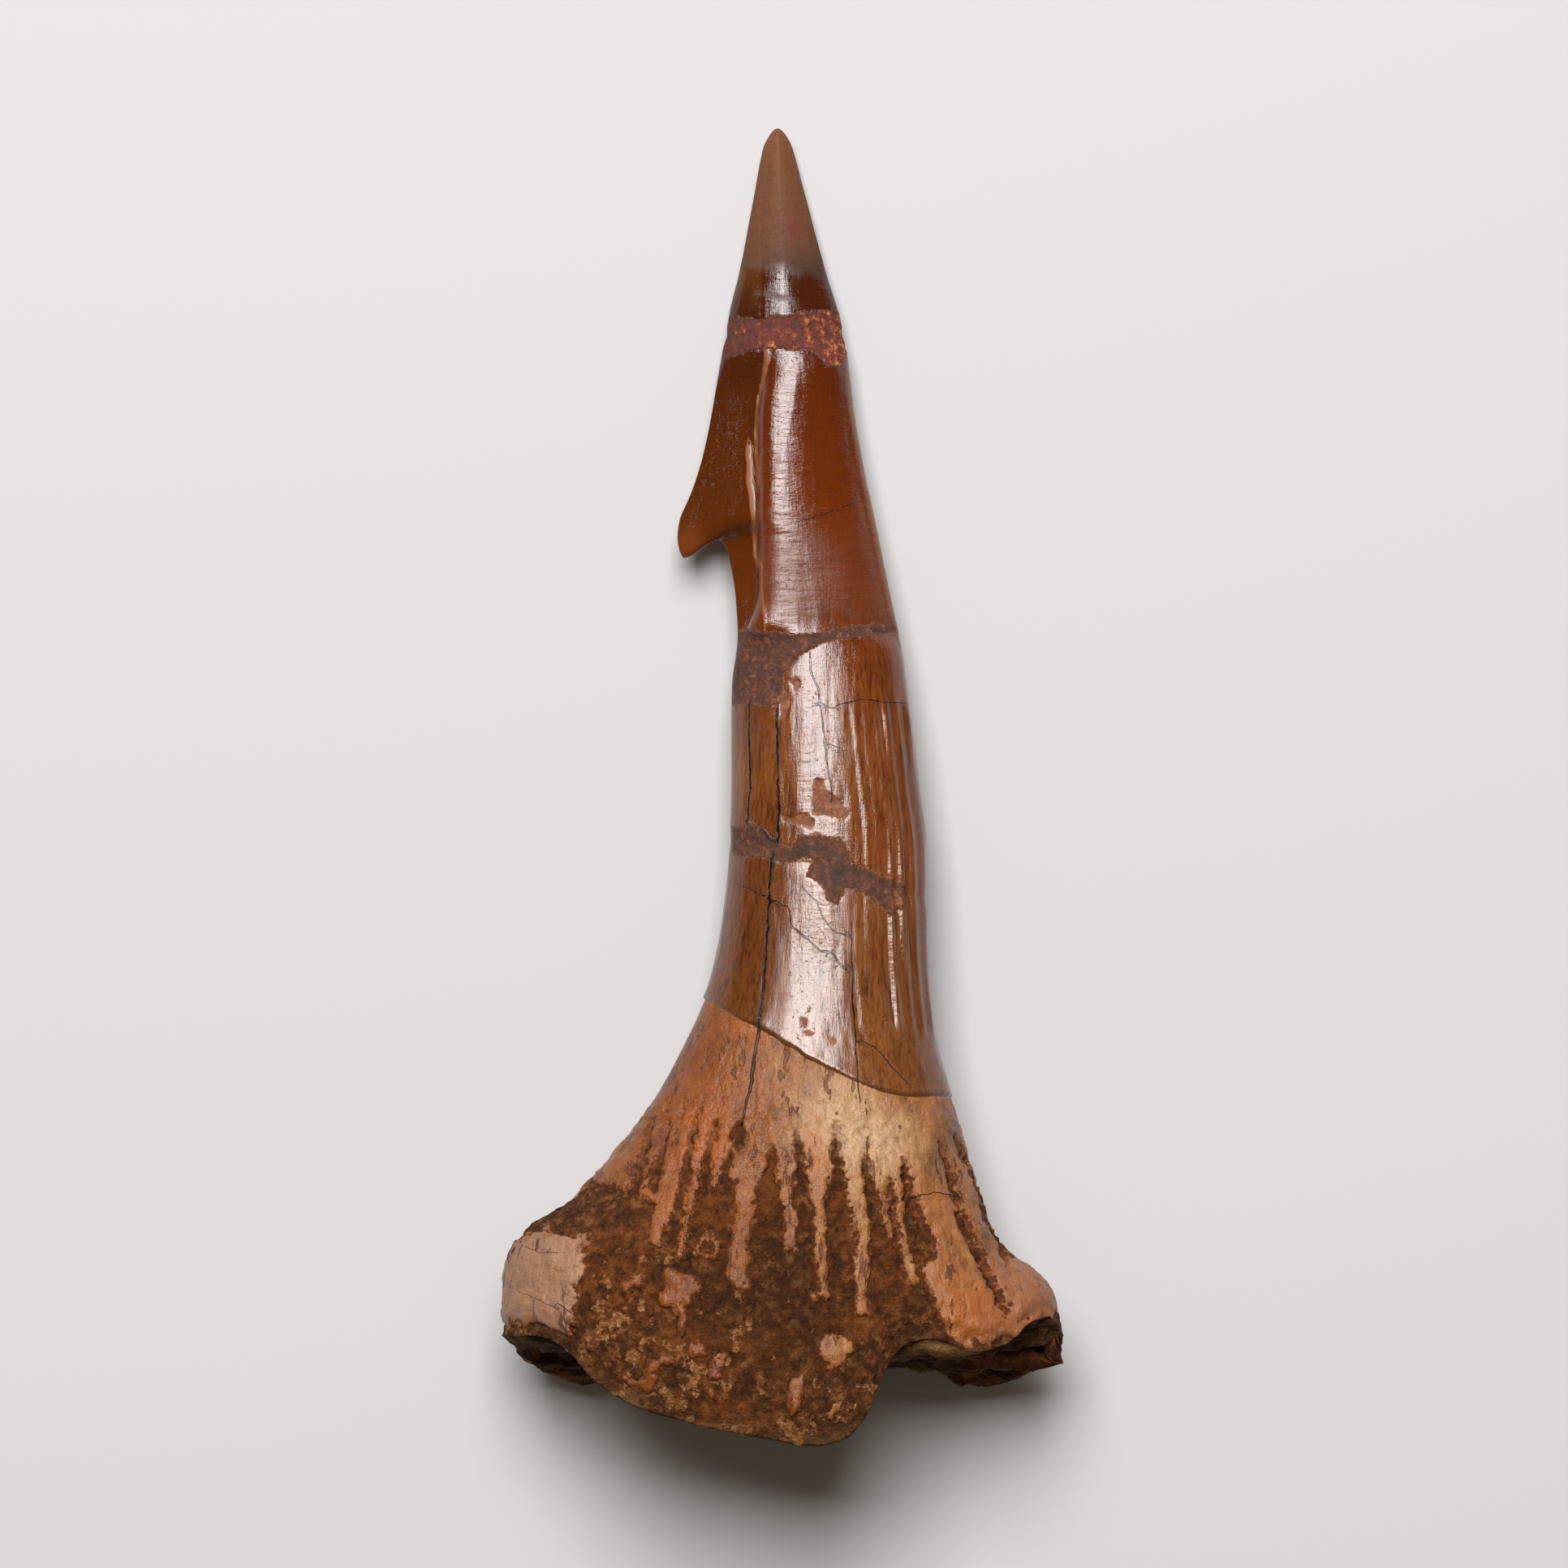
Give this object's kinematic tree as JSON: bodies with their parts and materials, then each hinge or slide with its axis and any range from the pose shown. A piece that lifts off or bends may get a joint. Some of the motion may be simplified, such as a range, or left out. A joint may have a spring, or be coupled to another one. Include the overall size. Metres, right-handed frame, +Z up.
{
  "type": "fossil sawfish rostral tooth",
  "caption": "Long slim fossil tooth with a glossy pointed crown, one backward barb and a fluted, flared root crusted with sediment, lying on its back.",
  "frame": {"origin": "under the middle of the tooth's bounding box, on the surface it lies on", "axes": "+Y along the tooth towards its tip, +X away from the barb, +Z up, out of the face that the picture shows"},
  "size_m": [0.0257, 0.06, 0.0118],
  "materials": {
    "fossil_tooth": "polished brown crown, satin tan root and matt sediment"
  },
  "bodies": {
    "root": {"rostral_tooth": "fossil_tooth"}
  },
  "joints": []
}
